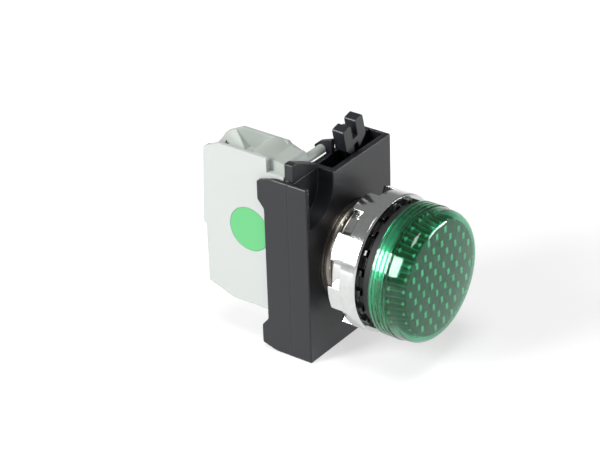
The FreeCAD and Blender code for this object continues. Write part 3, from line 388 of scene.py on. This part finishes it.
def smooth_copy(node, degrees=30.0):
    """A construction piece with its loose facets merged and its curved faces shaded as curves."""
    original = frame["nodes"][node]
    piece = original.copy()
    piece.data = original.data.copy()
    piece.name = node + "_skin"
    bpy.context.scene.collection.objects.link(piece)
    choose(piece)
    bpy.ops.object.mode_set(mode="EDIT")
    bpy.ops.mesh.select_all(action="SELECT")
    bpy.ops.mesh.remove_doubles(threshold=MERGE_COPY * MM)
    bpy.ops.mesh.normals_make_consistent(inside=False)
    bpy.ops.object.mode_set(mode="OBJECT")
    bpy.ops.mesh.customdata_custom_splitnormals_clear()
    smooth_by_angle(piece, degrees)
    level = piece.modifiers.new("large faces stay flat", "WEIGHTED_NORMAL")
    level.keep_sharp = True
    bpy.ops.object.modifier_apply(modifier=level.name)
    hand_over(piece, node)
    return piece


def wind_thread_cutter():
    """A three-sided bar wound round the neck: its point reaches inward, its base stands outside the neck."""
    bpy.ops.object.select_all(action="DESELECT")
    bpy.ops.mesh.primitive_circle_add(
        vertices=3, radius=THREAD_CUT_R * MM, fill_type="NGON", rotation=(0, 0, math.pi / 2),
        location=((NECK_R - THREAD_CUT_R / 4) * MM, THREAD_START * MM, 0))
    cutter = bpy.context.object
    cutter.name = "thread_cutter"
    bpy.ops.object.transform_apply(location=True, rotation=True, scale=True)
    pick(cutter, lambda place: True)
    bpy.ops.transform.resize(value=(1, THREAD_CUT_WIDEN, 1), center_override=(0, THREAD_START * MM, 0))
    bpy.ops.mesh.delete(type="ONLY_FACE")
    bpy.ops.object.mode_set(mode="OBJECT")
    winding = cutter.modifiers.new("winding", "SCREW")
    winding.axis = "Y"
    winding.angle = 2 * math.pi
    winding.screw_offset = THREAD_PITCH * MM
    winding.iterations = THREAD_TURNS
    winding.steps = 72
    winding.render_steps = 72
    choose(cutter)
    bpy.ops.object.modifier_apply(modifier=winding.name)
    bpy.ops.object.mode_set(mode="EDIT")
    bpy.ops.mesh.select_all(action="SELECT")
    bpy.ops.mesh.fill_holes(sides=3)
    bpy.ops.mesh.select_all(action="SELECT")
    bpy.ops.mesh.normals_make_consistent(inside=False)
    bpy.ops.object.mode_set(mode="OBJECT")
    return cutter


def cut_neck_thread(head):
    """Takes the wound cutter away from the neck, which leaves the thread that the nut runs on. The cut leaves
    slivers, which are merged away."""
    cutter = wind_thread_cutter()
    cut = head.modifiers.new("thread", "BOOLEAN")
    cut.operation = "DIFFERENCE"
    cut.solver = "EXACT"
    cut.object = cutter
    choose(head)
    bpy.ops.object.modifier_apply(modifier=cut.name)
    bpy.data.objects.remove(cutter)
    bpy.ops.object.mode_set(mode="EDIT")
    bpy.ops.mesh.select_all(action="SELECT")
    bpy.ops.mesh.remove_doubles(threshold=MERGE_CUT * MM)
    bpy.ops.mesh.dissolve_degenerate(threshold=MERGE_COPY * MM)
    bpy.ops.mesh.delete_loose(use_verts=True, use_edges=True, use_faces=True)
    bpy.ops.mesh.select_all(action="SELECT")
    bpy.ops.mesh.normals_make_consistent(inside=False)
    bpy.ops.object.mode_set(mode="OBJECT")
    head.data.materials.clear()
    head.data.materials.append(neck_chrome)
    smooth_by_angle(head, 30.0)


def arc(centre_r, centre_y, radius, start, end, count):
    """Points of an arc in the (radius, y) plane; its angles run from the radius towards +y, in degrees."""
    angles = [math.radians(start + (end - start) * i / count) for i in range(count + 1)]
    return [(centre_r + radius * math.cos(a), centre_y + radius * math.sin(a)) for a in angles]


def turned_piece(name, outline, steps=144):
    """A piece turned about the lamp's axis: its closed outline of (radius, y) points is drawn and spun."""
    bpy.ops.object.select_all(action="DESELECT")
    bpy.ops.mesh.primitive_plane_add(size=MM, location=(0, 0, 0))
    piece = bpy.context.object
    piece.name = name
    bpy.ops.object.mode_set(mode="EDIT")
    bpy.ops.mesh.select_all(action="SELECT")
    bpy.ops.mesh.merge(type="CENTER")
    bpy.ops.transform.translate(value=(outline[0][0] * MM, outline[0][1] * MM, 0))
    for (r, y), (next_r, next_y) in zip(outline, outline[1:] + outline[:1]):
        move = {"value": ((next_r - r) * MM, (next_y - y) * MM, 0)}
        bpy.ops.mesh.extrude_vertices_move(TRANSFORM_OT_translate=move)
    bpy.ops.mesh.select_all(action="SELECT")
    bpy.ops.mesh.spin(steps=steps, angle=2 * math.pi, center=(0, 0, 0), axis=(0, 1, 0))
    bpy.ops.mesh.select_all(action="SELECT")
    bpy.ops.mesh.remove_doubles(threshold=MERGE_TURNED * MM)
    bpy.ops.mesh.normals_make_consistent(inside=False)
    bpy.ops.object.mode_set(mode="OBJECT")
    return piece


def lens_nose(wall, steps=14):
    """The cap's rounded corner and shallow dome, drawn in by a wall, from its side to the axis."""
    corner_r = LENS_NOSE_R - LENS_CORNER_R
    dome_y = LENS_APEX + LENS_DOME_R
    corner_y = dome_y - math.sqrt((LENS_DOME_R - LENS_CORNER_R) ** 2 - corner_r ** 2)
    meeting = math.degrees(math.atan2(corner_y - dome_y, corner_r))
    corner = arc(corner_r, corner_y, LENS_CORNER_R - wall, 0.0, meeting, steps)
    return corner + arc(0.0, dome_y, LENS_DOME_R - wall, meeting, -90.0, steps)[1:]


def build_lens():
    """Clear cap: four rings round its foot, a straight side, a rounded corner and a shallow dome."""
    soft = 0.1
    outline = [(LENS_BORE_R, LENS_REAR), (LENS_RIM_R - soft, LENS_REAR), (LENS_RIM_R, LENS_REAR - soft)]
    for ring in range(LENS_RINGS):
        groove_y = LENS_REAR - RING_PITCH * (ring + 1) + RING_GROOVE
        root_r = LENS_RIM_R - RING_DEPTH
        next_r = LENS_RIM_R if ring < LENS_RINGS - 1 else LENS_SIDE_R
        outline += [(LENS_RIM_R, groove_y + soft), (root_r + soft, groove_y), (root_r, groove_y - soft)]
        outline += [(root_r, groove_y - RING_GROOVE + soft), (next_r - soft / 2, groove_y - RING_GROOVE),
                    (next_r, groove_y - RING_GROOVE - soft)]
    outline += lens_nose(0.0) + lens_nose(LENS_WALL)[::-1]
    piece = turned_piece("clear_cap", outline)
    smooth_by_angle(piece, 12.0)
    hand_over(piece, "lens")


def build_fluted_shell():
    """A round collar, sixty flutes that run forward and slightly in, and a flat front."""
    bpy.ops.object.select_all(action="DESELECT")
    bpy.ops.mesh.primitive_cylinder_add(
        vertices=FLUTE_COUNT * 2, radius=CUP_R * MM, depth=CUP_COLLAR * MM, end_fill_type="NOTHING",
        location=(0, (CUP_REAR - CUP_COLLAR / 2) * MM, 0), rotation=(math.pi / 2, 0, 0))
    shell = bpy.context.object
    shell.name = "fluted_cup"
    bpy.ops.object.transform_apply(location=True, rotation=True, scale=True)
    collar_front = (CUP_REAR - CUP_COLLAR) * MM
    flute_start = collar_front - 0.05 * MM
    centre = (0, 0, 0)
    pick(shell, lambda place: abs(place.y - collar_front) < IN_PLANE * MM)
    bpy.ops.mesh.extrude_edges_move(TRANSFORM_OT_translate={"value": (0, flute_start - collar_front, 0)})
    between = math.pi / FLUTE_COUNT

    def in_groove(place):
        turn = round(math.atan2(place.z, place.x) / between)
        return abs(place.y - flute_start) < IN_PLANE * MM and turn % 2 == 1

    pick(shell, in_groove)
    inward = 1 - FLUTE_DEPTH / CUP_R
    bpy.ops.transform.resize(value=(inward, 1, inward), center_override=centre)
    pick(shell, lambda place: abs(place.y - flute_start) < IN_PLANE * MM)
    bpy.ops.mesh.extrude_edges_move(TRANSFORM_OT_translate={"value": (0, CUP_FRONT * MM - flute_start, 0)})
    drawn_in = CUP_FRONT_R / CUP_R
    bpy.ops.transform.resize(value=(drawn_in, 1, drawn_in), center_override=centre)
    bpy.ops.mesh.edge_face_add()
    bpy.ops.mesh.select_all(action="SELECT")
    bpy.ops.mesh.normals_make_consistent(inside=False)
    bpy.ops.object.mode_set(mode="OBJECT")
    wall = shell.modifiers.new("moulded wall", "SOLIDIFY")
    wall.thickness = CUP_WALL * MM
    wall.offset = -1.0
    choose(shell)
    bpy.ops.object.modifier_apply(modifier=wall.name)
    return shell


def build_one_prism():
    """One prism of the lattice: a block whose front is drawn in and whose edges are softened. Its foot stands
    in the cup's wall."""
    bpy.ops.object.select_all(action="DESELECT")
    depth = PRISM_RAISE + CUP_WALL / 2
    bpy.ops.mesh.primitive_cube_add(
        size=MM, location=(0, (CUP_FRONT - PRISM_RAISE + depth / 2) * MM, 0),
        scale=(PRISM_W, depth, PRISM_H))
    prism = bpy.context.object
    prism.name = "front_prism"
    bpy.ops.object.transform_apply(location=True, rotation=True, scale=True)
    pick(prism, lambda place: place.y < CUP_FRONT * MM)
    bpy.ops.transform.resize(value=PRISM_DRAW_IN,
                             center_override=(0, (CUP_FRONT - PRISM_RAISE) * MM, 0))
    bpy.ops.object.mode_set(mode="OBJECT")
    soft = prism.modifiers.new("softened ridge", "BEVEL")
    soft.width = PRISM_SOFT * MM
    soft.segments = 3
    soft.limit_method = "NONE"
    choose(prism)
    bpy.ops.object.modifier_apply(modifier=soft.name)
    return prism


def build_cup():
    """The prism cup: the fluted shell with its lattice of prisms set on the front."""
    shell = build_fluted_shell()
    first = build_one_prism()
    row_step = PRISM_PITCH * math.sqrt(3) / 2
    reach = int(PRISM_FIELD_R / row_step) + 1
    prisms = []
    for row in range(-reach, reach + 1):
        for column in range(-reach, reach + 1):
            x = (column + (row % 2) / 2) * PRISM_PITCH
            z = row * row_step
            if math.hypot(x, z) + PRISM_H / 2 > PRISM_FIELD_R:
                continue
            prism = first.copy()
            prism.data = first.data.copy()
            to_place = Matrix.Translation((x * MM, 0, z * MM))
            prism.matrix_world = Matrix.Rotation(-PRISM_LEAN, 4, "Y") @ to_place
            bpy.context.scene.collection.objects.link(prism)
            prisms.append(prism)
    bpy.data.objects.remove(first)
    choose(shell)
    for prism in prisms:
        prism.select_set(True)
    bpy.ops.object.join()
    smooth_by_angle(shell, 25.0)
    hand_over(shell, "prism_cup")


def build_gasket():
    """Rubber gasket between head and panel, with its rounded outer edges."""
    front = arc(GASKET_R - GASKET_FILLET, GASKET_FRONT + GASKET_FILLET, GASKET_FILLET, -90.0, 0.0, 4)
    rear = arc(GASKET_R - GASKET_FILLET, -GASKET_FILLET, GASKET_FILLET, 0.0, 90.0, 4)
    outline = [(GASKET_BORE_R, 0.0), (GASKET_BORE_R, GASKET_FRONT)] + front + rear
    piece = turned_piece("moulded_gasket", outline, 96)
    smooth_by_angle(piece, 40.0)
    hand_over(piece, "panel_gasket")


build_lens()
build_cup()
build_gasket()
cut_neck_thread(smooth_copy("head_body"))
for node_name in ("lock_washer", "fixing_nut", "front_cover", "rear_frame", "lock_lever",
                  "block_housing", "block_side_cover", "colour_dot", "lamp_carrier", "smoothing_capacitor",
                  "dropper_resistor", "terminal_screw_upper", "terminal_screw_lower", "led_top", "led_left",
                  "led_right"):
    smooth_copy(node_name)


def place_camera():
    back = Vector((math.sin(VIEW_TURN) * math.cos(VIEW_RISE),
                   -math.cos(VIEW_TURN) * math.cos(VIEW_RISE), math.sin(VIEW_RISE)))
    right = Vector((math.cos(VIEW_TURN), math.sin(VIEW_TURN), 0.0))
    up = back.cross(right)
    rolled_right = right * math.cos(VIEW_ROLL) + up * math.sin(VIEW_ROLL)
    rolled_up = up * math.cos(VIEW_ROLL) - right * math.sin(VIEW_ROLL)
    data = bpy.data.cameras.new("photograph camera")
    data.lens = LENS_MM
    data.sensor_width = 36.0
    data.sensor_fit = "HORIZONTAL"
    data.clip_start = 0.01
    camera = bpy.data.objects.new("photograph camera", data)
    turn = Matrix((rolled_right, rolled_up, back)).transposed().to_4x4()
    data.shift_x = -SHIFT_RIGHT_PX / IMAGE_WIDTH_PX
    data.shift_y = SHIFT_DOWN_PX / IMAGE_WIDTH_PX
    camera.matrix_world = Matrix.Translation(Vector(EYE_MM) * MM) @ turn
    bpy.context.scene.collection.objects.link(camera)
    bpy.context.scene.camera = camera


place_camera()


def add_light(name, place, size, power):
    """A white rectangular light that faces the lamp."""
    data = bpy.data.lights.new(name, "AREA")
    data.shape = "RECTANGLE"
    data.size, data.size_y = size
    data.energy = power
    lamp = bpy.data.objects.new(name, data)
    lamp.location = place
    lamp.rotation_euler = (-Vector(place)).to_track_quat("-Z", "Y").to_euler()
    bpy.context.scene.collection.objects.link(lamp)


def build_studio():
    """A white paper floor that glows a little, so that it stays white round the object, a pale sweep along
    the horizon, a softbox behind the left shoulder, one overhead, and a low white card at the right."""
    bpy.ops.object.select_all(action="DESELECT")
    bpy.ops.mesh.primitive_plane_add(size=FLOOR_SIZE, location=(0, 0, FLOOR_Z))
    floor = bpy.context.object
    floor.name = "studio_floor"
    material, tree = new_material("white studio paper")
    place = object_position(tree)
    fibre = add_node(tree, "ShaderNodeTexNoise", values={"Scale": 1000 / 2.0, "Detail": 2.0},
                     links={"Vector": place.outputs[0]})
    tint = add_node(tree, "ShaderNodeMix", {"data_type": "RGBA"},
                    {6: linear("#b4b4b4"), 7: linear("#b8b8b8")}, {0: fibre.outputs[0]})
    shader = add_node(tree, "ShaderNodeBsdfPrincipled",
                      values={"Roughness": 0.9, "Emission Color": linear("#ffffff"),
                              "Emission Strength": FLOOR_GLOW},
                      links={"Base Color": tint.outputs[2]})
    finish_material(tree, shader)
    floor.data.materials.append(material)
    world = bpy.data.worlds.new("studio air")
    world.use_nodes = True
    air = world.node_tree
    way = add_node(air, "ShaderNodeTexCoord")
    parts = add_node(air, "ShaderNodeSeparateXYZ", links={"Vector": way.outputs["Generated"]})
    sweep = add_node(air, "ShaderNodeMapRange",
                     values={"From Max": AIR_BLEND_HEIGHT, "To Min": AIR_AT_HORIZON, "To Max": AIR_ABOVE},
                     links={"Value": parts.outputs["Z"]})
    backdrop = air.nodes["Background"]
    backdrop.inputs["Color"].default_value = linear("#ffffff")
    air.links.new(sweep.outputs[0], backdrop.inputs["Strength"])
    bpy.context.scene.world = world
    add_light("left rear softbox", (-0.76, 0.46, 0.46), (0.34, 0.52), 10.5)
    add_light("overhead softbox", (-0.15, -0.1, 1.0), (0.42, 0.42), 4.6)
    add_light("low right card", (0.5, -0.55, 0.04), (0.3, 0.12), 2.4)


build_studio()
bpy.context.scene.view_settings.view_transform = "Standard"
